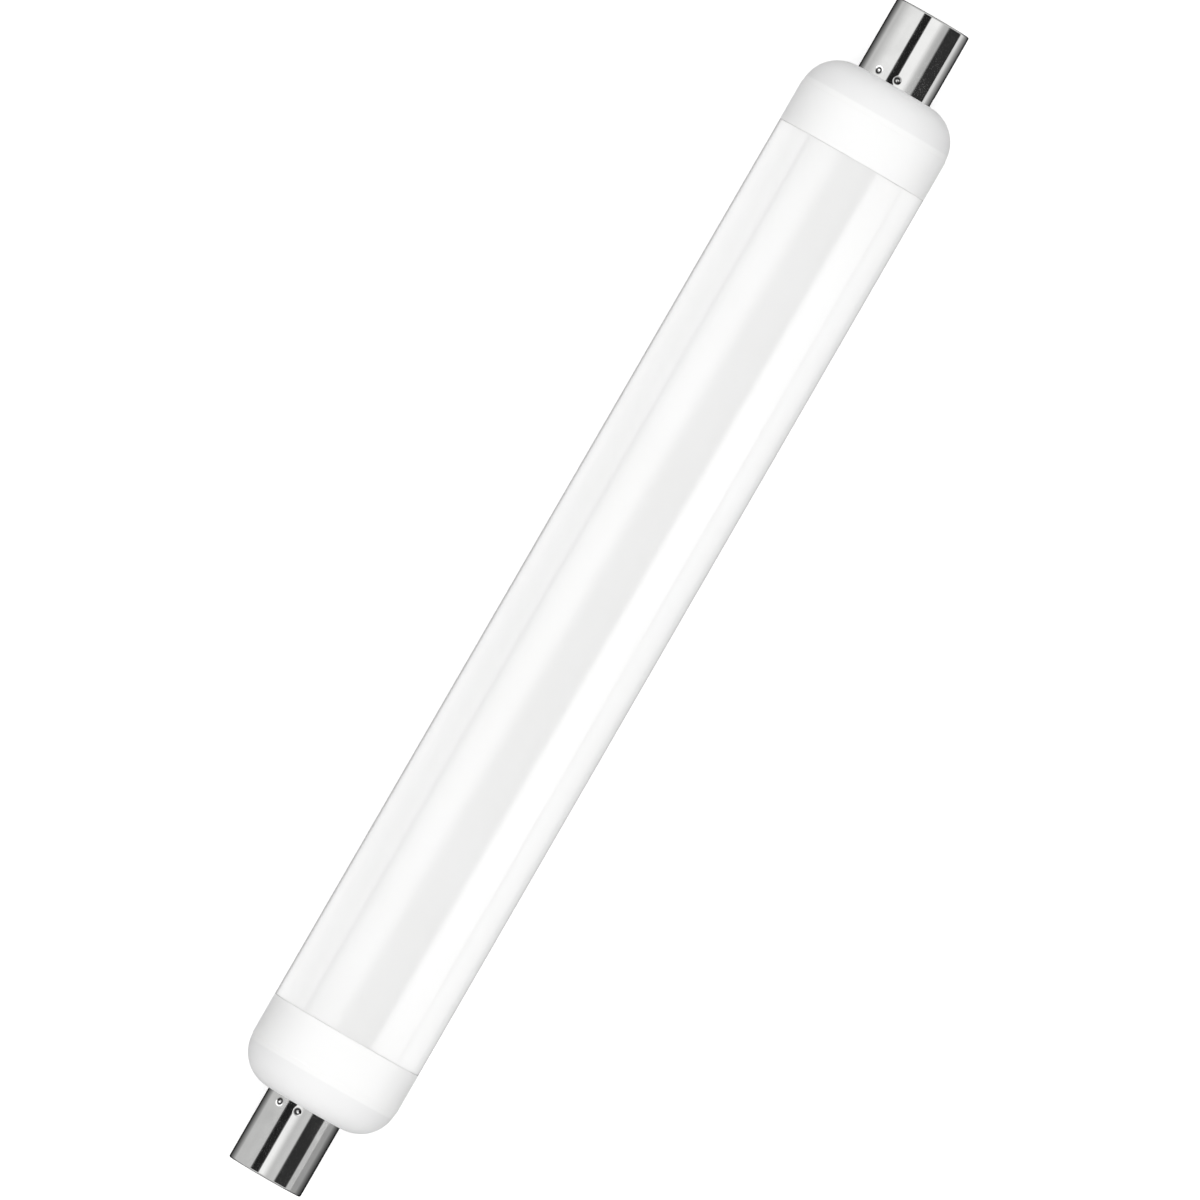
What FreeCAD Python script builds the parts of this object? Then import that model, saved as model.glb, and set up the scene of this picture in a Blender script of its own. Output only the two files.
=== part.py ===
# Double-ended tubular lamp: an opal tube between two white moulded end caps,
# each carrying a plated contact cap that is crimped onto the moulding's neck.
# X runs along the lamp, Z is up, and the origin is the middle of the tube.
import FreeCAD, Part

import math
import os

import Sketcher

SIDES = ("left", "right")

DRIVING_SIZES = (
    ("lamp_length", 310, "over the two contact faces"),
    ("tube_diameter", 38.3, "opal tube, outside"),
    ("tube_wall", 1.5, "opal tube, where its end is open for the spigot"),
    ("end_cap_length", 19.5, "moulding that shows between tube and contact cap"),
    ("shoulder_radius", 9.2, "rounded shoulder of the moulding"),
    ("witness_step", 0.15, "step where the shoulder meets the skirt"),
    ("skirt_rim_chamfer", 0.3, "edge of the skirt at the tube"),
    ("front_wall", 2.0, "moulding's wall behind its flat face"),
    ("inner_chamfer", 3.0, "inside of the shoulder"),
    ("spigot_length", 8.0, "moulding inside the tube"),
    ("spigot_wall", 1.55, "moulding inside the tube"),
    ("spigot_clearance", 0.1, "radial, spigot to tube"),
    ("spigot_end_gap", 0.5, "spigot's mouth to the bottom of its seat"),
    ("crush_rib_count", 6, "round the spigot"),
    ("crush_rib_width", 1.2, "across one rib"),
    ("crush_rib_gap", 0.02, "radial, rib to tube"),
    ("crush_rib_setback", 1.0, "plain lead-in from the spigot's mouth to the ribs"),
    ("neck_length", 15.0, "moulding inside the contact cap"),
    ("neck_wall", 1.8, "moulding inside the contact cap"),
    ("neck_clearance", 0.05, "radial, neck to contact cap"),
    ("contact_cap_diameter", 19.0, "outside"),
    ("contact_cap_length", 18.5, "moulding's face to contact face"),
    ("contact_cap_wall", 0.4, "drawn sheet"),
    ("contact_chamfer", 0.5, "outside corner at the contact face"),
    ("dish_radius", 3.0, "pressed dish at the middle of the contact face"),
    ("dish_depth", 0.6, "pressed dish"),
    ("lead_hole_radius", 0.9, "hole in the dish for the lead"),
    ("dent_width", 2.4, "across one crimp dent"),
    ("dent_depth", 0.45, "crimp dent"),
    ("dent_offset", 1.7, "moulding's face to the middle of the dents"),
    ("dent_pair_angle", 31.5, "degrees between the two dents of a pair"),
    ("dent_pair_count", 3, "pairs round the contact cap"),
    ("dent_clearance", 0.05, "dent to the dimple in the neck"),
    ("left_end_turn", 37.0, "degrees that the left end is turned about the lamp"),
    ("right_end_turn", 0.0, "degrees that the right end is turned about the lamp"),
    ("solder_sink", 0.05, "solder's top below the contact face"),
    ("solder_top_radius", 1.5, "flat top of the solder"),
)

# In an end's own frame, X is 0 at the moulding's flat face and points outwards.
DERIVED_SIZES = (
    ("tube_radius", "Sizes.tube_diameter / 2"),
    ("tube_bore", "tube_radius - Sizes.tube_wall"),
    ("end_seat", "Sizes.lamp_length / 2 - Sizes.contact_cap_length"),
    ("tube_half", "end_seat - Sizes.end_cap_length"),
    ("tube_seat", "tube_half - Sizes.spigot_length - Sizes.spigot_end_gap"),
    ("spigot_radius", "tube_bore - Sizes.spigot_clearance"),
    ("spigot_bore", "spigot_radius - Sizes.spigot_wall"),
    ("spigot_end", "Sizes.end_cap_length + Sizes.spigot_length"),
    ("crush_rib_top", "tube_bore - Sizes.crush_rib_gap"),
    ("shoulder_top", "tube_radius - Sizes.witness_step"),
    ("face_radius", "shoulder_top - Sizes.shoulder_radius"),
    ("shell_radius", "Sizes.contact_cap_diameter / 2"),
    ("shell_bore", "shell_radius - Sizes.contact_cap_wall"),
    ("neck_radius", "shell_bore - Sizes.neck_clearance"),
    ("neck_bore", "neck_radius - Sizes.neck_wall"),
    ("shell_inside", "Sizes.contact_cap_length - Sizes.contact_cap_wall"),
    ("dish_floor", "Sizes.contact_cap_length - Sizes.dish_depth"),
    ("dish_floor_radius", "Sizes.dish_radius - Sizes.dish_depth"),
    ("dish_back", "dish_floor - Sizes.contact_cap_wall"),
    ("sheet_mitre", "Sizes.contact_cap_wall * tan(22.5 deg)"),
    ("dent_floor", "shell_radius - Sizes.dent_depth"),
    ("dent_floor_radius", "Sizes.dent_width / 2 - Sizes.dent_depth"),
    ("dent_mouth", "shell_radius + Sizes.contact_cap_wall / 2"),
    ("bump_floor", "dent_floor - Sizes.contact_cap_wall"),
    ("bump_floor_radius", "dent_floor_radius + sheet_mitre"),
    ("bump_mouth", "(shell_radius + shell_bore) / 2"),
    ("dimple_floor", "bump_floor - Sizes.dent_clearance"),
    ("dimple_floor_radius", "bump_floor_radius + Sizes.dent_clearance * tan(22.5 deg)"),
    ("dimple_mouth", "shell_bore"),
    ("solder_top", "Sizes.contact_cap_length - Sizes.solder_sink"),
)


def write_sheet(doc):
    """Driving dimensions in the spreadsheet, what follows from them in a variable set."""
    sheet = doc.addObject("Spreadsheet::Sheet", "Sizes")
    for row, (alias, value, note) in enumerate(DRIVING_SIZES, start=1):
        sheet.set(f"A{row}", alias)
        sheet.set(f"B{row}", str(value))
        sheet.set(f"C{row}", note)
        sheet.setAlias(f"B{row}", alias)
    doc.recompute()
    derived = doc.addObject("App::VarSet", "Derived")
    for name, formula in DERIVED_SIZES:
        derived.addProperty("App::PropertyFloat", name, "Derived")
        derived.setExpression(name, formula)
    doc.recompute()


def new_body(doc, label):
    body = doc.addObject("PartDesign::Body", label)
    body.Label = label
    return body


def origin_feature(body, role):
    for feature in body.Origin.OriginFeatures:
        if feature.Role == role:
            return feature
    raise RuntimeError(f"{body.Label} has no {role}")


def new_sketch(body, name, plane):
    sketch = body.newObject("Sketcher::SketchObject", f"{body.Label}_{name}")
    sketch.AttachmentSupport = [(origin_feature(body, plane), "")]
    sketch.MapMode = "FlatFace"
    return sketch


def bind(sketch, kind, geometry, point, formula):
    """Tie one coordinate of a point, or a radius, to a formula."""
    value = float(sketch.evalExpression(formula))
    if kind == "Radius":
        index = sketch.addConstraint(Sketcher.Constraint("Radius", geometry, value))
    else:
        index = sketch.addConstraint(Sketcher.Constraint(kind, geometry, point, value))
    sketch.setExpression(f"Constraints[{index}]", formula)


def arc_between(start, end, radius):
    """The short arc from start to end; a positive radius turns to the left."""
    chord = end - start
    middle = (start + end) * 0.5
    left = FreeCAD.Vector(-chord.y, chord.x, 0).normalize()
    height = math.sqrt(max(radius ** 2 - (chord.Length / 2) ** 2, 0))
    side = math.copysign(1, radius)
    centre = middle + left * height * side
    crown = centre - left * abs(radius) * side
    return Part.Arc(start, crown, end)


def draw_outline(sketch, corners):
    """Closed outline through corners (x, y) or (x, y, radius of the arc to the next corner)."""
    points = []
    for corner in corners:
        x = float(sketch.evalExpression(corner[0]))
        y = float(sketch.evalExpression(corner[1]))
        points.append(FreeCAD.Vector(x, y, 0))
    count = len(corners)
    for index, corner in enumerate(corners):
        start = points[index]
        end = points[(index + 1) % count]
        if len(corner) == 3:
            radius = float(sketch.evalExpression(corner[2]))
            sketch.addGeometry(arc_between(start, end, radius))
        else:
            sketch.addGeometry(Part.LineSegment(start, end))
    starts = [start_point(sketch, index, points[index]) for index in range(count)]
    for index, corner in enumerate(corners):
        after = (index + 1) % count
        sketch.addConstraint(Sketcher.Constraint(
            "Coincident", index, 3 - starts[index], after, starts[after]))
        bind(sketch, "DistanceX", index, starts[index], corner[0])
        bind(sketch, "DistanceY", index, starts[index], corner[1])
        if len(corner) == 3:
            bind(sketch, "Radius", index, 0, f"abs({corner[2]})")


def start_point(sketch, geometry, corner):
    """1 where the edge's own first point is the corner, 2 where an arc runs the other way."""
    first = sketch.getPoint(geometry, 1)
    second = sketch.getPoint(geometry, 2)
    return 1 if (first - corner).Length <= (second - corner).Length else 2


def turn_outline(body, name, corners):
    """Full turn of an outline on the XZ plane about the lamp axis."""
    sketch = new_sketch(body, f"{name}_outline", "XZ_Plane")
    draw_outline(sketch, corners)
    turned = body.newObject("PartDesign::Revolution", f"{body.Label}_{name}")
    turned.Profile = sketch
    turned.ReferenceAxis = (sketch, ["H_Axis"])
    turned.Angle = 360
    sketch.Visibility = False


def ring_pattern(body, name, originals, count):
    """Even copies of the originals round the lamp axis."""
    pattern = body.newObject("PartDesign::PolarPattern", f"{body.Label}_{name}")
    pattern.Originals = originals
    pattern.Axis = (origin_feature(body, "X_Axis"), [""])
    pattern.Angle = 360
    pattern.setExpression("Occurrences", count)
    body.Tip = pattern
    return pattern


def dent_ring(body, name, originals):
    """Pairs of dents round the lamp axis, as the crimping jaws punch them."""
    ring = body.newObject("PartDesign::MultiTransform", f"{body.Label}_{name}")
    ring.Originals = originals
    pair = body.newObject("PartDesign::PolarPattern", f"{body.Label}_{name}_pair")
    pair.Axis = (origin_feature(body, "X_Axis"), [""])
    pair.Reversed = True
    pair.setExpression("Angle", "Sizes.dent_pair_angle")
    pair.Occurrences = 2
    jaws = body.newObject("PartDesign::PolarPattern", f"{body.Label}_{name}_jaws")
    jaws.Axis = (origin_feature(body, "X_Axis"), [""])
    jaws.Angle = 360
    jaws.setExpression("Occurrences", "Sizes.dent_pair_count")
    ring.Transformations = [pair, jaws]
    body.Tip = ring
    return ring


def punch(body, name, kind):
    """One dent as a ruled loft: a blunt eight-sided punch whose sides slope at 45 degrees."""
    floor = f"Derived.{name}_floor"
    sections = []
    for end in ("mouth", "floor"):
        level = f"Derived.{name}_{end}"
        section = new_sketch(body, f"{name}_{end}", "XY_Plane")
        section.setExpression("AttachmentOffset.Base.x", "Sizes.dent_offset")
        section.setExpression("AttachmentOffset.Base.z", level)
        corner = f"(Derived.{name}_floor_radius + {level} - {floor}) / cos(22.5 deg)"
        draw_outline(section, tuple(
            (f"{corner} * cos({(side + 0.5) * 45} deg)", f"{corner} * sin({(side + 0.5) * 45} deg)")
            for side in range(8)))
        section.Visibility = False
        sections.append(section)
    loft = body.newObject(f"PartDesign::{kind}Loft", f"{body.Label}_{name}")
    loft.Profile = sections[0]
    loft.Sections = sections[1:]
    loft.Ruled = True
    return loft


def place_on_end(body, side):
    """The left end is the right one turned half round Z; each is turned about the lamp as crimped."""
    along = {"left": "-Derived.end_seat", "right": "Derived.end_seat"}[side]
    yaw = {"left": "180", "right": "0"}[side]
    turn = f"Sizes.{side}_end_turn"
    body.setExpression("Placement", f"placement(vector({along}; 0; 0); rotation({yaw}; 0; {turn}))")


def make_opal_tube(doc):
    """Sealed opal tube with its light board inside: one solid, opened at each end for a spigot."""
    body = new_body(doc, "opal_tube")
    turn_outline(body, "wall", (
        ("-Derived.tube_seat", "0"),
        ("Derived.tube_seat", "0"),
        ("Derived.tube_seat", "Derived.tube_bore"),
        ("Derived.tube_half", "Derived.tube_bore"),
        ("Derived.tube_half", "Derived.tube_radius"),
        ("-Derived.tube_half", "Derived.tube_radius"),
        ("-Derived.tube_half", "Derived.tube_bore"),
        ("-Derived.tube_seat", "Derived.tube_bore"),
    ))
    return body


def make_end_cap(doc, side):
    """White moulding: neck for the contact cap, rounded shoulder, skirt, and ribbed spigot."""
    body = new_body(doc, f"end_cap_{side}")
    rim = "Sizes.skirt_rim_chamfer"
    corner = "Sizes.inner_chamfer"
    turn_outline(body, "shell", (
        ("Sizes.neck_length", "Derived.neck_bore"),
        ("Sizes.neck_length", "Derived.neck_radius"),
        ("0", "Derived.neck_radius"),
        ("0", "Derived.face_radius", "Sizes.shoulder_radius"),
        ("-Sizes.shoulder_radius", "Derived.shoulder_top"),
        ("-Sizes.shoulder_radius", "Derived.tube_radius"),
        (f"{rim} - Sizes.end_cap_length", "Derived.tube_radius"),
        ("-Sizes.end_cap_length", f"Derived.tube_radius - {rim}"),
        ("-Sizes.end_cap_length", "Derived.spigot_radius"),
        ("-Derived.spigot_end", "Derived.spigot_radius"),
        ("-Derived.spigot_end", "Derived.spigot_bore"),
        (f"-Sizes.front_wall - {corner}", "Derived.spigot_bore"),
        ("-Sizes.front_wall", f"Derived.spigot_bore - {corner}"),
        ("-Sizes.front_wall", "Derived.neck_bore"),
    ))

    rib = new_sketch(body, "crush_rib_outline", "YZ_Plane")
    rib.setExpression("AttachmentOffset.Base.z", "Sizes.crush_rib_setback - Derived.spigot_end")
    side_of_rib = "Sizes.crush_rib_width / 2"
    foot = "Derived.spigot_radius - Sizes.spigot_wall / 2"
    top = "sqrt(Derived.crush_rib_top ^ 2 - Sizes.crush_rib_width ^ 2 / 4)"
    draw_outline(rib, (
        (side_of_rib, foot),
        (side_of_rib, top, "Derived.crush_rib_top"),
        (f"-{side_of_rib}", top),
        (f"-{side_of_rib}", foot),
    ))
    rib_pad = body.newObject("PartDesign::Pad", f"{body.Label}_crush_rib")
    rib_pad.Profile = rib
    rib_pad.setExpression("Length", "Sizes.spigot_length - Sizes.crush_rib_setback")
    rib.Visibility = False
    ring_pattern(body, "crush_ribs", [rib_pad], "Sizes.crush_rib_count")

    dent_ring(body, "dimples", [punch(body, "dimple", "Subtractive")])
    place_on_end(body, side)
    return body


def make_contact_cap(doc, side):
    """Plated cap drawn from thin sheet, dished at its contact face and dented onto the neck."""
    body = new_body(doc, f"contact_cap_{side}")
    corner = "Sizes.contact_chamfer"
    turn_outline(body, "cup", (
        ("0", "Derived.shell_bore"),
        ("0", "Derived.shell_radius"),
        (f"Sizes.contact_cap_length - {corner}", "Derived.shell_radius"),
        ("Sizes.contact_cap_length", f"Derived.shell_radius - {corner}"),
        ("Sizes.contact_cap_length", "Sizes.dish_radius"),
        ("Derived.dish_floor", "Derived.dish_floor_radius"),
        ("Derived.dish_floor", "Sizes.lead_hole_radius"),
        ("Derived.dish_back", "Sizes.lead_hole_radius"),
        ("Derived.dish_back", "Derived.dish_floor_radius + Derived.sheet_mitre"),
        ("Derived.shell_inside", "Sizes.dish_radius + Derived.sheet_mitre"),
        ("Derived.shell_inside", "Derived.shell_bore"),
    ))
    bump = punch(body, "bump", "Additive")
    dent = punch(body, "dent", "Subtractive")
    dent_ring(body, "dents", [bump, dent])
    place_on_end(body, side)
    return body


def make_solder_point(doc, side):
    """Solder that fills the dish and closes the lead hole."""
    body = new_body(doc, f"solder_point_{side}")
    turn_outline(body, "plug", (
        ("Derived.dish_back", "0"),
        ("Derived.solder_top", "0"),
        ("Derived.solder_top", "Sizes.solder_top_radius"),
        ("Derived.dish_floor", "Derived.dish_floor_radius"),
        ("Derived.dish_floor", "Sizes.lead_hole_radius"),
        ("Derived.dish_back", "Sizes.lead_hole_radius"),
    ))
    place_on_end(body, side)
    return body


def join_end_caps(doc):
    """Both mouldings in one file, because their round shoulders take most of the facets."""
    pair = doc.addObject("Part::Compound", "end_caps")
    pair.Links = [make_end_cap(doc, side) for side in SIDES]
    return pair


def check(doc, pieces):
    for item in doc.Objects:
        if "Invalid" in item.State or "Error" in item.State:
            raise RuntimeError(f"{item.Name} did not compute: {item.State}")
    for piece in pieces:
        shape = piece.Shape
        expected = len(piece.Links) if piece.isDerivedFrom("Part::Compound") else 1
        if shape.isNull() or not shape.isValid() or len(shape.Solids) != expected:
            raise RuntimeError(f"{piece.Label} is not {expected} valid solid(s)")


def build():
    doc = FreeCAD.newDocument("TubularLamp")
    write_sheet(doc)
    pieces = [make_opal_tube(doc), join_end_caps(doc)]
    for side in SIDES:
        pieces.append(make_contact_cap(doc, side))
        pieces.append(make_solder_point(doc, side))
    doc.recompute()
    check(doc, pieces)
    return pieces


def export(pieces):
    os.makedirs("parts", exist_ok=True)
    for piece in pieces:
        piece.Shape.exportStep(os.path.join("parts", f"{piece.Label}.step"))


export(build())
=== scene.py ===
import math

import bmesh
import bpy
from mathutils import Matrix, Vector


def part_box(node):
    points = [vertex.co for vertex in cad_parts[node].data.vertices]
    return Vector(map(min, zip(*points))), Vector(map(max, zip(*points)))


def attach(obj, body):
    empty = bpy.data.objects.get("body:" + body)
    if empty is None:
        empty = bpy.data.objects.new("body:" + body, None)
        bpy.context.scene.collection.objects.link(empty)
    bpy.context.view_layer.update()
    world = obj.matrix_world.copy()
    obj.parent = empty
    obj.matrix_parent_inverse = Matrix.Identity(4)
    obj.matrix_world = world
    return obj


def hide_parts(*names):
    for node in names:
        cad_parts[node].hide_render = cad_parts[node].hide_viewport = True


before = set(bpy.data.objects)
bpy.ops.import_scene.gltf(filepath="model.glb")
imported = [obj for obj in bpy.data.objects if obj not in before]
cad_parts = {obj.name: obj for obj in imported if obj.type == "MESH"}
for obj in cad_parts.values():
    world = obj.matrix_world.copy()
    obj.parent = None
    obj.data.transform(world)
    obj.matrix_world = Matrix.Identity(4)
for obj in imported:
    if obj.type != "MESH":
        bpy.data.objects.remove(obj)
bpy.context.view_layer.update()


# Camera. It hangs straight over the lying lamp and is turned so that the lamp slants up to
# the right, 30 degrees off upright. The long lens keeps the tube's edges parallel.
lens_mm = 900
sensor_mm = 36
frame_px = 1200
px_per_mm = 4.318
lamp_right_px = -0.9
lamp_up_px = 2.8
view_turn = math.radians(-60)

camera = bpy.data.objects.new("camera", bpy.data.cameras.new("camera"))
bpy.context.scene.collection.objects.link(camera)
bpy.context.scene.camera = camera
camera.data.lens = lens_mm
camera.data.sensor_width = sensor_mm
camera_height = frame_px / px_per_mm / 1000 * lens_mm / sensor_mm
camera_right = -lamp_right_px / px_per_mm / 1000
camera_up = -lamp_up_px / px_per_mm / 1000
camera.location = (
    camera_right * math.cos(view_turn) - camera_up * math.sin(view_turn),
    camera_right * math.sin(view_turn) + camera_up * math.cos(view_turn),
    camera_height,
)
camera.rotation_euler = (0, 0, view_turn)
camera.data.clip_end = 60


# Sweep. The lamp lies on a white board that is lit from below a little, so that hardly any
# shadow is left, but flagged so that it throws little light back. In gloss alone the board is
# a grey glow with a painted shadow that darkens towards the lamp, less on the far side and
# most at the left. The sky lights the lamp softly and shows in its gloss as a white wall.
floor_width = 30.0
tube_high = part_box("opal_tube")[1]
tube_radius = tube_high.z
board_glow = 0.40
board_bounce = "#CBCBCB"
# Painted shadow on the board, seen in gloss alone: its span beside the lamp and its levels per
# side.
painted_shadow_from = 0.017
painted_shadow_to = 0.065
mirrored_far = 0.75
mirrored_near_left = 0.46
mirrored_near_right = 0.98
side_blend = 0.001
sky_light = 0.64
sky_seen = 0.92


def linear(hex_colour):
    """sRGB hex as linear red, green, blue and alpha."""
    parts = [int(hex_colour[place:place + 2], 16) / 255 for place in (1, 3, 5)]
    return [p / 12.92 if p <= 0.04045 else ((p + 0.055) / 1.055) ** 2.4 for p in parts] + [1]


def add(tree, kind, inputs=(), **settings):
    """A node with its settings, whose inputs are values or the sockets that feed them."""
    node = tree.nodes.new(kind)
    for name, value in settings.items():
        setattr(node, name, value)
    for socket, value in dict(inputs).items():
        if isinstance(value, bpy.types.NodeSocket):
            tree.links.new(value, node.inputs[socket])
        else:
            node.inputs[socket].default_value = value
    return node


def new_material(name):
    """An empty material and its node tree."""
    material = bpy.data.materials.new(name)
    material.use_nodes = True
    material.node_tree.nodes.clear()
    return material, material.node_tree


def new_object(name, mesh):
    """The mesh as an object at the origin of the scene."""
    made = bpy.data.objects.new(name, mesh)
    bpy.context.scene.collection.objects.link(made)
    return made


board = bpy.data.meshes.new("board")
reach = floor_width / 2
board.from_pydata(
    [(-reach, -reach, -tube_radius), (reach, -reach, -tube_radius),
     (reach, reach, -tube_radius), (-reach, reach, -tube_radius)], [], [(0, 1, 2, 3)])
floor = new_object("floor", board)
matt_card, tree = new_material("matt white card")
white = add(tree, "ShaderNodeBsdfPrincipled", {
    "Base Color": linear("#F9F9F9"), "Roughness": 0.9, "Specular IOR Level": 0.1,
    "Emission Color": linear("#FFFFFF"), "Emission Strength": board_glow})
flagged = add(tree, "ShaderNodeBsdfDiffuse", {"Color": linear(board_bounce)})
path = add(tree, "ShaderNodeLightPath")
shade = add(tree, "ShaderNodeMixShader", {
    0: path.outputs["Is Diffuse Ray"], 1: white.outputs[0], 2: flagged.outputs[0]})
# Painted shadow: in gloss alone the board glows black next to the lamp and brighter away from it,
# at its own level on the far side, the near left and the near right.
spot = add(tree, "ShaderNodeSeparateXYZ", {
    "Vector": add(tree, "ShaderNodeTexCoord").outputs["Object"]})
beside = add(tree, "ShaderNodeMath", {0: spot.outputs["Y"]}, operation="ABSOLUTE")
near_level = add(tree, "ShaderNodeMapRange", {
    "Value": spot.outputs["X"], "From Min": -side_blend, "From Max": side_blend,
    "To Min": mirrored_near_left, "To Max": mirrored_near_right})
side_level = add(tree, "ShaderNodeMapRange", {
    "Value": spot.outputs["Y"], "From Min": -side_blend, "From Max": side_blend,
    "To Min": near_level.outputs[0], "To Max": mirrored_far})
painted_shadow_grade = add(tree, "ShaderNodeMapRange", {
    "Value": beside.outputs[0], "From Min": painted_shadow_from, "From Max": painted_shadow_to,
    "To Max": side_level.outputs[0]})
mirrored = add(tree, "ShaderNodeEmission", {"Strength": painted_shadow_grade.outputs[0]})
shade = add(tree, "ShaderNodeMixShader", {
    0: path.outputs["Is Glossy Ray"], 1: shade.outputs[0], 2: mirrored.outputs[0]})
add(tree, "ShaderNodeOutputMaterial", {"Surface": shade.outputs[0]})
floor.data.materials.append(matt_card)

world = bpy.data.worlds.new("studio wall")
bpy.context.scene.world = world
world.use_nodes = True
tree = world.node_tree
tree.nodes.clear()
path = add(tree, "ShaderNodeLightPath")
level = add(tree, "ShaderNodeMapRange", {
    "Value": path.outputs["Is Diffuse Ray"], "To Min": sky_seen, "To Max": sky_light})
sky = add(tree, "ShaderNodeBackground", {"Strength": level.outputs[0]})
add(tree, "ShaderNodeOutputWorld", {"Surface": sky.outputs[0]})
bpy.context.scene.view_settings.view_transform = "Standard"


# Lights. One broad soft light overhead, a little to the near side, gives the shading, and a
# low one at each end opens the shadow on the shoulder, the left one a little more. Bent cards
# round the lamp are seen only in its gloss: white ones leave the pale band along the tube
# between their reflections, black ones draw the dark stripes on the metal.
key_width = 1.2
key_height = 1.3
key_tilt = math.radians(3)
key_power = 9.7
end_width = 0.7
end_reach = 1.1
end_rise = math.radians(8)
end_powers = {"left_end": (-1, 3.0), "right_end": (1, 2.0)}
card_steps = 48


def soft_light(name, width, power, place, turn):
    """A square soft light that neither the camera nor the gloss sees."""
    light = bpy.data.objects.new(name, bpy.data.lights.new(name, "AREA"))
    bpy.context.scene.collection.objects.link(light)
    light.data.shape = "SQUARE"
    light.data.size = width
    light.data.energy = power
    light.location = place
    light.rotation_euler = turn
    light.visible_camera = False
    light.visible_glossy = False


soft_light("overhead", key_width, key_power,
           (0, -key_height * math.sin(key_tilt), key_height * math.cos(key_tilt)),
           (-key_tilt, 0, 0))
for name, (way, end_power) in end_powers.items():
    soft_light(name, end_width, end_power,
               (way * end_reach * math.cos(end_rise), 0, end_reach * math.sin(end_rise)),
               (0, way * (math.pi / 2 - end_rise), 0))


def bent_card(name, distance, angles, ends, glow, soft_angles, soft_ends):
    """A card bent round the lamp's axis, seen in gloss alone. Angles run from straight up
    towards the near side in degrees, ends along the lamp in metres; both edges fade over
    the soft lengths, in the same units."""
    rims = []
    for step in range(card_steps + 1):
        angle = math.radians(angles[0] + (angles[1] - angles[0]) * step / card_steps)
        rims.append((-distance * math.sin(angle), distance * math.cos(angle)))
    mesh = bpy.data.meshes.new(name)
    mesh.from_pydata(
        [(end, y, z) for y, z in rims for end in ends], [],
        [(2 * i, 2 * i + 1, 2 * i + 3, 2 * i + 2) for i in range(card_steps)])
    places = mesh.uv_layers.new(name="place")
    for loop in mesh.loops:
        rim, end = divmod(loop.vertex_index, 2)
        places.data[loop.index].uv = (rim / card_steps, end)
    card = new_object(name, mesh)
    card.visible_camera = False
    card.visible_diffuse = False
    card.visible_shadow = False
    card.visible_transmission = False

    material, tree = new_material(name)
    spot = add(tree, "ShaderNodeSeparateXYZ", {
        "Vector": add(tree, "ShaderNodeUVMap", uv_map="place").outputs[0]})
    cover = None
    for axis, whole, soft in (("X", angles[1] - angles[0], soft_angles),
                              ("Y", abs(ends[1] - ends[0]), soft_ends)):
        low, high = (length / abs(whole) for length in soft)
        rise = add(tree, "ShaderNodeMapRange", {
            "Value": spot.outputs[axis], "From Min": 0, "From Max": low},
            interpolation_type="SMOOTHSTEP")
        fall = add(tree, "ShaderNodeMapRange", {
            "Value": spot.outputs[axis], "From Min": 1, "From Max": 1 - high},
            interpolation_type="SMOOTHSTEP")
        both = add(tree, "ShaderNodeMath", {0: rise.outputs[0], 1: fall.outputs[0]},
                   operation="MULTIPLY").outputs[0]
        cover = both if cover is None else add(
            tree, "ShaderNodeMath", {0: cover, 1: both}, operation="MULTIPLY").outputs[0]
    clear = add(tree, "ShaderNodeBsdfTransparent")
    lit = add(tree, "ShaderNodeEmission", {"Strength": glow})
    mixed = add(tree, "ShaderNodeMixShader", {
        0: cover, 1: clear.outputs[0], 2: lit.outputs[0]})
    add(tree, "ShaderNodeOutputMaterial", {"Surface": mixed.outputs[0]})
    card.data.materials.append(material)


# Each card: distance, angles, ends, glow, soft angles, soft ends.
cards = {
    "white_card_tube_far": (0.40, (-98, -7), (-0.136, 0.136), 3.5, (50, 22), (0.004, 0.004)),
    "white_card_tube_near": (0.40, (35, 104), (-0.136, 0.136), 4.6, (9, 16), (0.004, 0.004)),
    "white_wrap_far": (0.0215, (-104, -38), (-0.1172, 0.1172), 3.15, (46, 6), (0.0003, 0.0003)),
    "white_wrap_near": (0.0215, (50, 94), (-0.1172, 0.1172), 3.7, (3, 42), (0.0003, 0.0003)),
    "white_back_far": (0.0222, (-125, -38), (-0.1172, 0.1172), 0.97, (2, 4), (0.0003, 0.0003)),
    "white_back_near": (0.0222, (50, 125), (-0.1172, 0.1172), 0.93, (4, 2), (0.0003, 0.0003)),
    "grey_edge_far": (0.0210, (-125, -90), (-0.1172, 0.1172), 0.45, (2, 4), (0.0003, 0.0003)),
    "grey_edge_near": (0.0210, (91, 125), (-0.1172, 0.1172), 0.6, (8, 2), (0.0003, 0.0003)),
    "white_card_right_top": (0.20, (-12, 44), (0.128, 0.22), 1.3, (3, 24), (0.001, 0.01)),
    "white_card_right_far": (0.20, (-104, -27), (0.128, 0.22), 1.15, (50, 3), (0.001, 0.01)),
    "grey_card_right": (0.19, (18, 56), (0.128, 0.22), 0.62, (38, 3), (0.001, 0.01)),
    "black_card_right_far": (0.12, (-29, -3), (0.128, 0.20), 0.02, (4, 3), (0.001, 0.01)),
    "black_card_right_near": (0.12, (49, 103), (0.128, 0.20), 0.04, (7, 1), (0.001, 0.01)),
    "white_card_left_top": (0.20, (-27, 8), (-0.128, -0.22), 1.3, (3, 20), (0.001, 0.01)),
    "grey_card_left": (0.19, (0, 28), (-0.128, -0.22), 0.82, (26, 3), (0.001, 0.01)),
    "black_card_left_far": (0.12, (-49, -19), (-0.128, -0.20), 0.02, (6, 3), (0.001, 0.01)),
    "black_card_left_near": (0.12, (25, 71), (-0.128, -0.20), 0.04, (6, 5), (0.001, 0.01)),
}
for name, card in cards.items():
    bent_card(name, *card)


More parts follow.
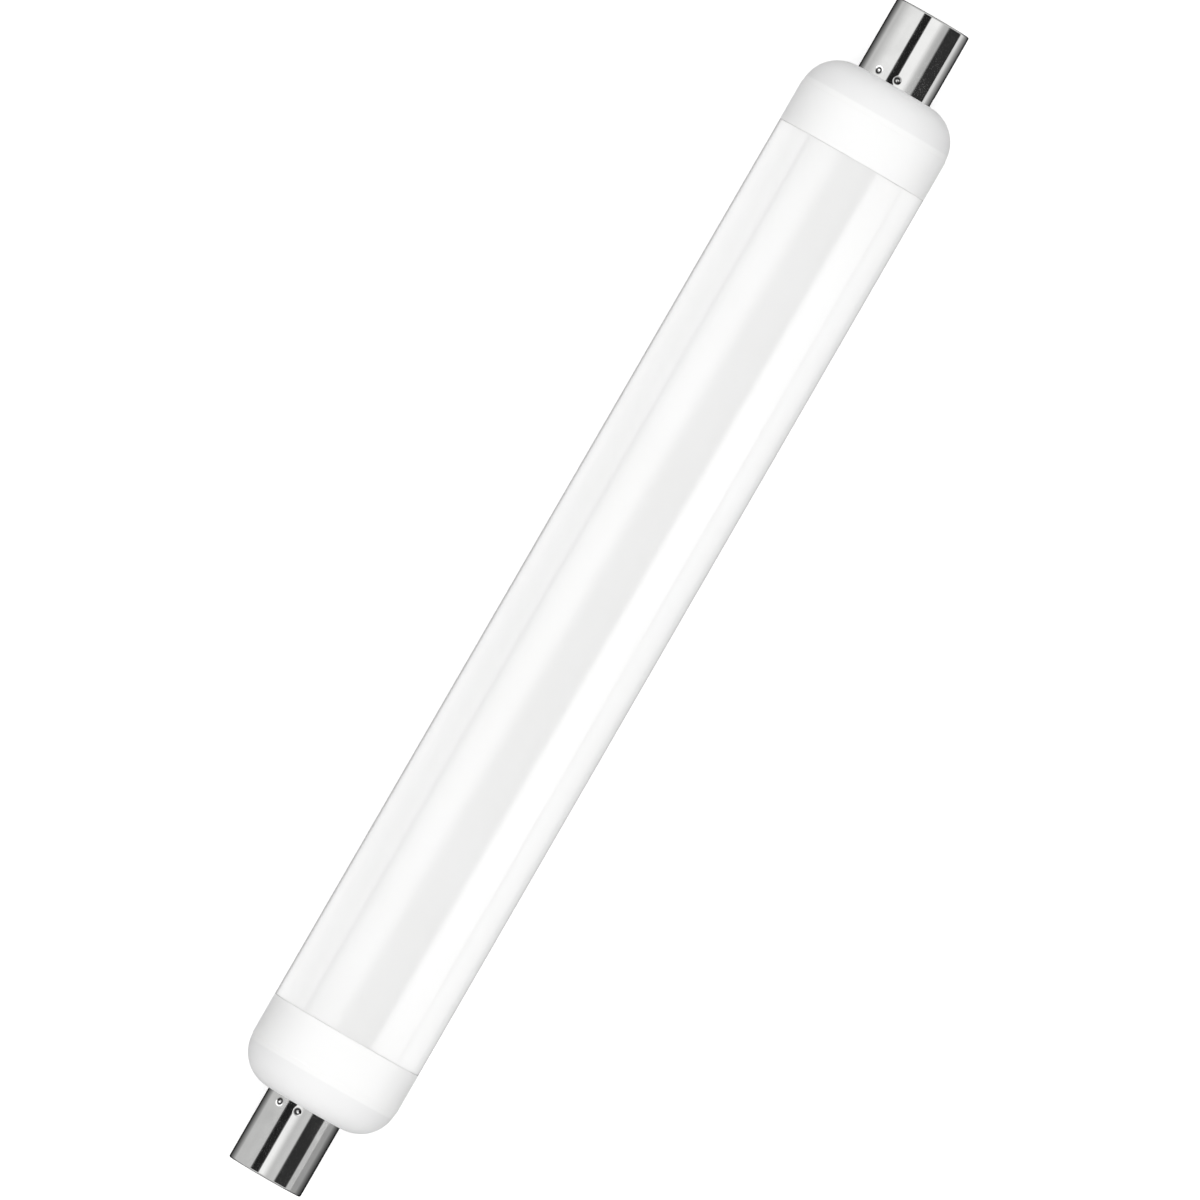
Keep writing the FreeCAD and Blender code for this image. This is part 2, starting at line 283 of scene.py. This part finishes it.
# Opal tube. Extruded opal polycarbonate, cut square, with a satin skin; the light board
# inside can't be seen through it. Its ends are open just deep enough for the end caps.
tube_half = tube_high.x
tube_wall = 0.0015
seat_depth = 0.0085
cut_edge = 0.00005
edge_hold = 0.0002
turn_segments = 256


def arc(middle, radius, start, end, steps):
    """Points (x, distance from the axis) of an arc between two angles in degrees."""
    points = []
    for step in range(steps + 1):
        angle = math.radians(start + (end - start) * step / steps)
        points.append((middle[0] + radius * math.cos(angle),
                       middle[1] + radius * math.sin(angle)))
    return points


def turned(outline, segments, way=1):
    """A closed outline turned about the lamp's axis into a bmesh, facing along X or against
    it. Points on the axis close as one pole."""
    form = bmesh.new()
    rings = []
    for x, distance in outline:
        place = way * x
        if distance == 0:
            rings.append([form.verts.new((place, 0, 0))] * segments)
        else:
            rings.append([
                form.verts.new((place, distance * math.sin(2 * math.pi * turn / segments),
                                distance * math.cos(2 * math.pi * turn / segments)))
                for turn in range(segments)])
    count = len(rings) if outline[0][1] > 0 or outline[-1][1] > 0 else len(rings) - 1
    for index in range(count):
        one, two = rings[index], rings[(index + 1) % len(rings)]
        for turn in range(segments):
            after = (turn + 1) % segments
            corners = dict.fromkeys((one[turn], one[after], two[after], two[turn]))
            if len(corners) > 2:
                form.faces.new(list(corners))
    bmesh.ops.recalc_face_normals(form, faces=form.faces)
    return form


def as_mesh(name, forms, sharp_over=25):
    """The bmeshes as one smooth mesh whose edges are sharp over the angle in degrees."""
    mesh = bpy.data.meshes.new(name)
    joined = bmesh.new()
    for form in forms:
        part = bpy.data.meshes.new("part")
        form.to_mesh(part)
        joined.from_mesh(part)
        bpy.data.meshes.remove(part)
        form.free()
    joined.to_mesh(mesh)
    joined.free()
    mesh.polygons.foreach_set("use_smooth", [True] * len(mesh.polygons))
    mesh.set_sharp_from_angle(angle=math.radians(sharp_over))
    return mesh


half_outline = (
    [(tube_half - seat_depth, 0), (tube_half - seat_depth, tube_radius - tube_wall),
     (tube_half, tube_radius - tube_wall)]
    + arc((tube_half - cut_edge, tube_radius - cut_edge), cut_edge, 0, 90, 4)
    + [(tube_half - cut_edge - edge_hold, tube_radius)])
tube_outline = [(-x, distance) for x, distance in half_outline] + half_outline[::-1]
tube = new_object("opal_tube_skin", as_mesh("opal_tube_skin", [
    turned(tube_outline, turn_segments)]))
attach(tube, "root")
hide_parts("opal_tube")

# Opal polycarbonate: the pigment scatters the light just under a skin that the die left
# smooth, with faint lines along the tube and a soft, slightly uneven gloss.
opal_pc, tree = new_material("opal polycarbonate, extruded")
die_line_mm = 1.1
die_line_length_mm = 120
mottle_mm = 26
where = add(tree, "ShaderNodeTexCoord")
lengthwise = add(tree, "ShaderNodeMapping", {
    "Vector": where.outputs["Object"],
    "Scale": (1000 / die_line_length_mm, 1000 / die_line_mm, 1000 / die_line_mm)})
die_lines = add(tree, "ShaderNodeTexNoise", {
    "Vector": lengthwise.outputs[0], "Scale": 1.0, "Detail": 3, "Roughness": 0.5})
mottle = add(tree, "ShaderNodeTexNoise", {
    "Vector": where.outputs["Object"], "Scale": 1000 / mottle_mm, "Detail": 2})
tone = add(tree, "ShaderNodeMix", {
    0: mottle.outputs[0], 6: linear("#E8E8E7"), 7: linear("#ECECEC")}, data_type="RGBA")
gloss = add(tree, "ShaderNodeMapRange", {
    "Value": mottle.outputs[0], "To Min": 0.26, "To Max": 0.32})
skin = add(tree, "ShaderNodeBump", {
    "Height": die_lines.outputs[0], "Strength": 0.12, "Distance": 0.00005})
shade = add(tree, "ShaderNodeBsdfPrincipled", {
    "Base Color": tone.outputs[2], "Roughness": gloss.outputs[0], "IOR": 1.58,
    "Specular IOR Level": 0.15, "Subsurface Weight": 0.3,
    "Subsurface Radius": (1.0, 1.0, 1.0), "Subsurface Scale": 0.0015,
    "Coat Weight": 0.9, "Coat Roughness": 0.14, "Normal": skin.outputs[0]})
add(tree, "ShaderNodeOutputMaterial", {"Surface": shade.outputs[0]})
tube.data.materials.append(opal_pc)


# End caps. Two white polycarbonate mouldings with a neck for the contact cap, a rounded
# shoulder, a fine witness step and a skirt that meets the tube in a shadow line.
caps_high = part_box("end_caps")[1]
metal_low, metal_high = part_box("contact_cap_right")
face = metal_low.x
skirt_length = face - tube_half
shoulder = 0.0092
witness = 0.00015
witness_break = 0.00005
skirt_edge = 0.00006
front_wall = 0.002
inner_round = 0.005
spigot = 0.008
spigot_gap = 0.0001
spigot_wall = 0.00155
spigot_radius = tube_radius - tube_wall - spigot_gap
spigot_bore = spigot_radius - spigot_wall
neck_length = caps_high.x - face
neck_gap = 0.00005
neck_wall = 0.0018
sheet = 0.0004
neck_radius = metal_high.z - sheet - neck_gap
neck_bore = neck_radius - neck_wall
mould_edge = 0.0002
dent_zone = 0.0040
dent_rings = 20

cap_outline = (
    [(dent_zone * ring / dent_rings, neck_radius) for ring in range(dent_rings, 0, -1)]
    + [(0, neck_radius)]
    + arc((-shoulder, tube_radius - witness - shoulder), shoulder, 0, 90, 28)
    + [(-shoulder, tube_radius - witness_break), (-shoulder - witness_break, tube_radius),
       (-shoulder - witness_break - edge_hold, tube_radius),
       (skirt_edge - skirt_length + edge_hold, tube_radius)]
    + arc((skirt_edge - skirt_length, tube_radius - skirt_edge), skirt_edge, 90, 180, 5)
    + [(-skirt_length, spigot_radius), (mould_edge - skirt_length - spigot, spigot_radius),
       (-skirt_length - spigot, spigot_radius - mould_edge),
       (-skirt_length - spigot, spigot_bore)]
    + arc((-front_wall - inner_round, spigot_bore - inner_round), inner_round, 90, 0, 8)
    + [(-front_wall, neck_bore), (neck_length, neck_bore),
       (neck_length, neck_radius - mould_edge), (neck_length - mould_edge, neck_radius)])

# Moulded polycarbonate: the steel's fine spark finish leaves a satin surface with a very
# fine grain, drawn a little coarser than life so that it shows. Most of the shoulder is
# painted a shade greyer than the skirt: painted shade for the darker shoulder.
moulded_pc, tree = new_material("white polycarbonate, spark-finish moulding")
grain_mm = 0.35
flow_mm = 14
# Painted shade: past this edge most of the shoulder is painted a shade greyer than the skirt.
painted_shoulder_shade = "#F3F3F3"
shoulder_shade_edge = face - shoulder + 0.0014
shoulder_shade_blend = 0.0002
where = add(tree, "ShaderNodeTexCoord")
grain = add(tree, "ShaderNodeTexNoise", {
    "Vector": where.outputs["Object"], "Scale": 1000 / grain_mm, "Detail": 2})
flow = add(tree, "ShaderNodeTexNoise", {
    "Vector": where.outputs["Object"], "Scale": 1000 / flow_mm, "Detail": 2})
along = add(tree, "ShaderNodeMath", {
    0: add(tree, "ShaderNodeSeparateXYZ", {0: where.outputs["Object"]}).outputs["X"]},
    operation="ABSOLUTE")
in_shoulder_shade = add(tree, "ShaderNodeMapRange", {
    "Value": along.outputs[0], "From Min": shoulder_shade_edge - shoulder_shade_blend,
    "From Max": shoulder_shade_edge + shoulder_shade_blend})
sparked = add(tree, "ShaderNodeMix", {
    0: flow.outputs[0], 6: linear("#F8F8F7"), 7: linear("#FCFCFC")}, data_type="RGBA")
# Painted shade: the skirt's spark-finish tone gives way to the greyer shoulder.
tone = add(tree, "ShaderNodeMix", {
    0: in_shoulder_shade.outputs[0], 6: sparked.outputs[2], 7: linear(painted_shoulder_shade)},
    data_type="RGBA")
gloss = add(tree, "ShaderNodeMapRange", {
    "Value": flow.outputs[0], "To Min": 0.50, "To Max": 0.60})
skin = add(tree, "ShaderNodeBump", {
    "Height": grain.outputs[0], "Strength": 0.25, "Distance": 0.00002})
shade = add(tree, "ShaderNodeBsdfPrincipled", {
    "Base Color": tone.outputs[2], "Roughness": gloss.outputs[0], "IOR": 1.58,
    "Specular IOR Level": 0.2, "Subsurface Weight": 0.1,
    "Subsurface Radius": (1.0, 1.0, 1.0), "Subsurface Scale": 0.001,
    "Normal": skin.outputs[0]})
add(tree, "ShaderNodeOutputMaterial", {"Surface": shade.outputs[0]})


def new_tree(name, sizes, finish):
    """A geometry tree with named inputs for its sizes and finish, the values that go into
    them, and its group input's outputs."""
    tree = bpy.data.node_groups.new(name, "GeometryNodeTree")
    tree.interface.new_socket("Geometry", in_out="INPUT", socket_type="NodeSocketGeometry")
    values = {}
    for label, value in sizes.items():
        kind = "NodeSocketInt" if isinstance(value, int) else "NodeSocketFloat"
        socket = tree.interface.new_socket(label, in_out="INPUT", socket_type=kind)
        values[socket.identifier] = value
    socket = tree.interface.new_socket("Finish", in_out="INPUT", socket_type="NodeSocketMaterial")
    values[socket.identifier] = finish
    tree.interface.new_socket("Geometry", in_out="OUTPUT", socket_type="NodeSocketGeometry")
    return tree, values, add(tree, "NodeGroupInput").outputs


def maths(tree, operation, *values):
    """The output of one maths node."""
    return add(tree, "ShaderNodeMath", dict(enumerate(values)), operation=operation).outputs[0]


# Crush ribs: low blades round the spigot that bite into the tube's bore.
rib_width = 0.0012
rib_root = 0.0008
rib_gap = 0.00002
ribbed, rib_values, size = new_tree("crush ribs on a spigot", {
    "Ribs": 6, "Rib width": rib_width, "Rib length": 0.007,
    "Rib foot": spigot_radius - rib_root,
    "Rib top": math.sqrt((tube_radius - tube_wall - rib_gap) ** 2 - (rib_width / 2) ** 2),
    "Rib end": -skirt_length}, moulded_pc)
rib_height = maths(ribbed, "SUBTRACT", size["Rib top"], size["Rib foot"])
rib_middle = maths(
    ribbed, "DIVIDE", maths(ribbed, "ADD", size["Rib top"], size["Rib foot"]), 2.0)
rib_x = maths(
    ribbed, "SUBTRACT", size["Rib end"], maths(ribbed, "DIVIDE", size["Rib length"], 2.0))
blade = add(ribbed, "GeometryNodeMeshCube", {"Size": add(ribbed, "ShaderNodeCombineXYZ", {
    0: size["Rib length"], 1: size["Rib width"], 2: rib_height}).outputs[0]})
places = add(ribbed, "GeometryNodeMeshLine", {
    "Count": size["Ribs"], "Start Location": (0, 0, 0), "Offset": (0, 0, 0)})
rib_angle = maths(ribbed, "MULTIPLY", add(ribbed, "GeometryNodeInputIndex").outputs[0],
                  maths(ribbed, "DIVIDE", 2 * math.pi, size["Ribs"]))
raised = add(ribbed, "GeometryNodeTransform", {
    "Geometry": blade.outputs[0],
    "Translation": add(ribbed, "ShaderNodeCombineXYZ", {0: rib_x, 2: rib_middle}).outputs[0]})
ring = add(ribbed, "GeometryNodeInstanceOnPoints", {
    "Points": places.outputs[0], "Instance": raised.outputs[0],
    "Rotation": add(ribbed, "FunctionNodeEulerToRotation", {
        0: add(ribbed, "ShaderNodeCombineXYZ", {0: rib_angle}).outputs[0]}).outputs[0]})
blades = add(ribbed, "GeometryNodeRealizeInstances", {0: ring.outputs[0]})
whole = add(ribbed, "GeometryNodeJoinGeometry", {0: size["Geometry"]})
ribbed.links.new(blades.outputs[0], whole.inputs[0])
finished = add(ribbed, "GeometryNodeSetMaterial", {
    "Geometry": whole.outputs[0], "Material": size["Finish"]})
add(ribbed, "NodeGroupOutput", {"Geometry": finished.outputs[0]})

# Crimp: the jaws' dents go through the cup's sheet and into the neck below. The same tree
# dents both, sets one on each end, and turns the left one as it was crimped.
dent_root = 0.0005
dent_floor_share = 0.15
crimp, crimp_values, size = new_tree("crimped end of the lamp", {
    "Dent width": 0.0021, "Dent depth": 0.00027, "Dent offset": 0.0014,
    "Pair angle": math.radians(31.5), "Pairs": 3.0, "Dents reach": neck_radius - dent_root,
    "Seat": face, "Left turn": math.radians(37)}, moulded_pc)
spot = add(crimp, "ShaderNodeSeparateXYZ", {
    0: add(crimp, "GeometryNodeInputPosition").outputs[0]})
around = maths(crimp, "ARCTAN2", spot.outputs["Y"], spot.outputs["Z"])
share = maths(crimp, "DIVIDE", math.pi, size["Pairs"])
along_cup = maths(crimp, "SUBTRACT", spot.outputs["X"], size["Dent offset"])
half_width = maths(crimp, "DIVIDE", size["Dent width"], 2.0)
axial = add(crimp, "ShaderNodeCombineXYZ", {
    1: spot.outputs["Y"], 2: spot.outputs["Z"]}).outputs[0]
from_axis = add(crimp, "ShaderNodeVectorMath", {0: axial}, operation="LENGTH").outputs["Value"]
depth = None
for pair_angle in (0.0, size["Pair angle"]):
    folded = maths(crimp, "WRAP", maths(crimp, "SUBTRACT", around, pair_angle), share,
                   maths(crimp, "MULTIPLY", share, -1.0))
    across = maths(crimp, "MULTIPLY", folded, metal_high.z)
    away = add(crimp, "ShaderNodeVectorMath", {
        0: add(crimp, "ShaderNodeCombineXYZ", {0: along_cup, 1: across}).outputs[0]},
        operation="LENGTH")
    push = add(crimp, "ShaderNodeMapRange", {
        "Value": away.outputs["Value"], "From Min": maths(
            crimp, "MULTIPLY", half_width, dent_floor_share),
        "From Max": half_width, "To Min": size["Dent depth"], "To Max": 0.0},
        interpolation_type="SMOOTHSTEP").outputs[0]
    depth = push if depth is None else maths(crimp, "ADD", depth, push)
inwards = add(crimp, "ShaderNodeVectorMath", {
    0: add(crimp, "ShaderNodeVectorMath", {0: axial}, operation="NORMALIZE").outputs[0],
    "Scale": maths(crimp, "MULTIPLY", depth, -1.0)}, operation="SCALE")
dented = add(crimp, "GeometryNodeSetPosition", {
    "Geometry": size["Geometry"], "Offset": inwards.outputs[0],
    "Selection": maths(crimp, "GREATER_THAN", from_axis, size["Dents reach"])})
# The dent's share of its depth, from which the nickel paints shade on the dents' slopes.
marked = add(crimp, "GeometryNodeStoreNamedAttribute", {
    "Geometry": dented.outputs[0], "Name": "punched",
    "Value": maths(crimp, "DIVIDE", depth, size["Dent depth"])}, data_type="FLOAT")
seats = add(crimp, "GeometryNodeMeshLine", {
    "Count": 2,
    "Start Location": add(crimp, "ShaderNodeCombineXYZ", {
        0: maths(crimp, "MULTIPLY", size["Seat"], -1.0)}).outputs[0],
    "Offset": add(crimp, "ShaderNodeCombineXYZ", {
        0: maths(crimp, "MULTIPLY", size["Seat"], 2.0)}).outputs[0]})
is_left = maths(crimp, "SUBTRACT", 1.0, add(crimp, "GeometryNodeInputIndex").outputs[0])
turn = add(crimp, "FunctionNodeEulerToRotation", {0: add(crimp, "ShaderNodeCombineXYZ", {
    0: maths(crimp, "MULTIPLY", is_left, size["Left turn"]),
    2: maths(crimp, "MULTIPLY", is_left, math.pi)}).outputs[0]})
both_ends = add(crimp, "GeometryNodeInstanceOnPoints", {
    "Points": seats.outputs[0], "Instance": marked.outputs[0], "Rotation": turn.outputs[0]})
whole = add(crimp, "GeometryNodeRealizeInstances", {0: both_ends.outputs[0]})
finished = add(crimp, "GeometryNodeSetMaterial", {
    "Geometry": whole.outputs[0], "Material": size["Finish"]})
add(crimp, "NodeGroupOutput", {"Geometry": finished.outputs[0]})


def run_trees(name, mesh, steps):
    """The mesh after each tree with its values, as a plain mesh in an object at the origin."""
    blank = new_object(name + "_blank", mesh)
    for tree, values in steps:
        step = blank.modifiers.new(tree.name, "NODES")
        step.node_group = tree
        for identifier, value in values.items():
            step[identifier] = value
    done = bpy.data.meshes.new_from_object(
        blank.evaluated_get(bpy.context.evaluated_depsgraph_get()))
    bpy.data.objects.remove(blank)
    return new_object(name, done)


end_caps = run_trees(
    "end_cap_mouldings", as_mesh("end_cap", [turned(cap_outline, turn_segments)]),
    [(ribbed, rib_values), (crimp, crimp_values)])
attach(end_caps, "root")
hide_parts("end_caps")


# Contact caps. Cups drawn from 0.4 mm sheet and nickel-plated, with a shallow dish for the
# solder. Jaws punch pairs of dents near the rim that lock each cup onto the neck.
metal_length = metal_high.x - metal_low.x
metal_radius = metal_high.z
drawn_corner = 0.00045
dish_radius = 0.003
dish_depth = 0.0006
lead_hole = 0.0009
metal_segments = 288
dish_mitre = sheet * math.tan(math.radians(22.5))

metal_outline = (
    [(dent_zone * ring / dent_rings, metal_radius) for ring in range(dent_rings + 1)]
    + [(metal_length - drawn_corner - edge_hold, metal_radius)]
    + arc((metal_length - drawn_corner, metal_radius - drawn_corner), drawn_corner, 90, 0, 8)
    + [(metal_length, metal_radius - drawn_corner - edge_hold), (metal_length, dish_radius),
       (metal_length - dish_depth, dish_radius - dish_depth),
       (metal_length - dish_depth, lead_hole), (metal_length - dish_depth - sheet, lead_hole),
       (metal_length - dish_depth - sheet, dish_radius - dish_depth + dish_mitre),
       (metal_length - sheet, dish_radius + dish_mitre)]
    + arc((metal_length - drawn_corner, metal_radius - drawn_corner),
          drawn_corner - sheet, 0, 90, 4)
    + [(dent_zone * ring / dent_rings, metal_radius - sheet)
       for ring in range(dent_rings, -1, -1)])

# Nickel plate: bright and slightly warm, with hair-fine marks of the draw along the cup and
# a light haze from barrel polishing. The slopes of the dents are painted near black: painted
# shade that stands in for the dark reflection in the dents.
nickel, tree = new_material("nickel plate on drawn sheet")
draw_mark_mm = 0.25
draw_mark_length_mm = 30
haze_mm = 3.5
dent_shade_strength = 4.5
where = add(tree, "ShaderNodeTexCoord")
along = add(tree, "ShaderNodeMapping", {
    "Vector": where.outputs["Object"],
    "Scale": (1000 / draw_mark_length_mm, 1000 / draw_mark_mm, 1000 / draw_mark_mm)})
draw_marks = add(tree, "ShaderNodeTexNoise", {
    "Vector": along.outputs[0], "Scale": 1.0, "Detail": 4, "Roughness": 0.6})
haze = add(tree, "ShaderNodeTexNoise", {
    "Vector": where.outputs["Object"], "Scale": 1000 / haze_mm, "Detail": 4, "Roughness": 0.6})
plate = add(tree, "ShaderNodeMix", {
    0: haze.outputs[0], 6: linear("#CCCCCB"), 7: linear("#DBDBDA")}, data_type="RGBA")
# Painted shade: the slopes of the dents are mixed towards near black.
punched = add(tree, "ShaderNodeAttribute", attribute_name="punched")
slope = add(tree, "ShaderNodeMath", {
    0: add(tree, "ShaderNodeMath", {0: 1.0, 1: punched.outputs["Fac"]},
           operation="SUBTRACT").outputs[0], 1: punched.outputs["Fac"]}, operation="MULTIPLY")
painted_dent_shade = add(tree, "ShaderNodeMath", {0: slope.outputs[0], 1: dent_shade_strength},
            operation="MULTIPLY", use_clamp=True)
tone = add(tree, "ShaderNodeMix", {
    0: painted_dent_shade.outputs[0], 6: plate.outputs[2], 7: linear("#2E2E2E")}, data_type="RGBA")
gloss = add(tree, "ShaderNodeMapRange", {
    "Value": haze.outputs[0], "From Min": 0.3, "From Max": 0.7, "To Min": 0.05, "To Max": 0.10})
skin = add(tree, "ShaderNodeBump", {
    "Height": draw_marks.outputs[0], "Strength": 0.2, "Distance": 0.00001})
shade = add(tree, "ShaderNodeBsdfPrincipled", {
    "Base Color": tone.outputs[2], "Metallic": 1.0, "Roughness": gloss.outputs[0],
    "Normal": skin.outputs[0]})
add(tree, "ShaderNodeOutputMaterial", {"Surface": shade.outputs[0]})

# The dent tree again, with the metal in place of the moulding's finish.
crimp_values = {name: nickel if value == moulded_pc else value
                for name, value in crimp_values.items()}
contact_caps = run_trees("contact_caps", as_mesh("cup", [turned(metal_outline, metal_segments)]),
                         [(crimp, crimp_values)])
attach(contact_caps, "root")
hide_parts("contact_cap_left", "contact_cap_right")


# Solder points. A drop of solder closes the lead hole and fills the dish of each contact
# cap; it set with a dull, slightly uneven dome just below the contact face.
solder_low, solder_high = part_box("solder_point_right")
solder_end = solder_high.x
dish_floor = metal_high.x - dish_depth
dome_points = 10
dome_squareness = 0.8
drop_outline = (
    [(solder_low.x, 0), (solder_low.x, lead_hole), (dish_floor, lead_hole),
     (dish_floor, dish_radius - dish_depth)]
    + [(dish_floor + (solder_end - dish_floor) * math.sin(turn) ** dome_squareness,
        (dish_radius - dish_depth) * math.cos(turn))
       for turn in (math.pi / 2 * step / dome_points for step in range(1, dome_points))]
    + [(solder_end, 0)])
solder_points = new_object("solder_drops", as_mesh(
    "solder_drops", [turned(drop_outline, 64, way) for way in (-1, 1)], sharp_over=40))
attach(solder_points, "root")
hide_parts("solder_point_left", "solder_point_right")

# Solder: grey tin with a frosty, grainy skin where it froze.
solder, tree = new_material("tin solder, as set")
frost_mm = 0.5
where = add(tree, "ShaderNodeTexCoord")
frost = add(tree, "ShaderNodeTexNoise", {
    "Vector": where.outputs["Object"], "Scale": 1000 / frost_mm, "Detail": 4})
tone = add(tree, "ShaderNodeMix", {
    0: frost.outputs[0], 6: linear("#A9A9A6"), 7: linear("#C9C9C6")}, data_type="RGBA")
gloss = add(tree, "ShaderNodeMapRange", {
    "Value": frost.outputs[0], "To Min": 0.28, "To Max": 0.45})
skin = add(tree, "ShaderNodeBump", {
    "Height": frost.outputs[0], "Strength": 0.5, "Distance": 0.0001})
shade = add(tree, "ShaderNodeBsdfPrincipled", {
    "Base Color": tone.outputs[2], "Metallic": 1.0, "Roughness": gloss.outputs[0],
    "Normal": skin.outputs[0]})
add(tree, "ShaderNodeOutputMaterial", {"Surface": shade.outputs[0]})
solder_points.data.materials.append(solder)
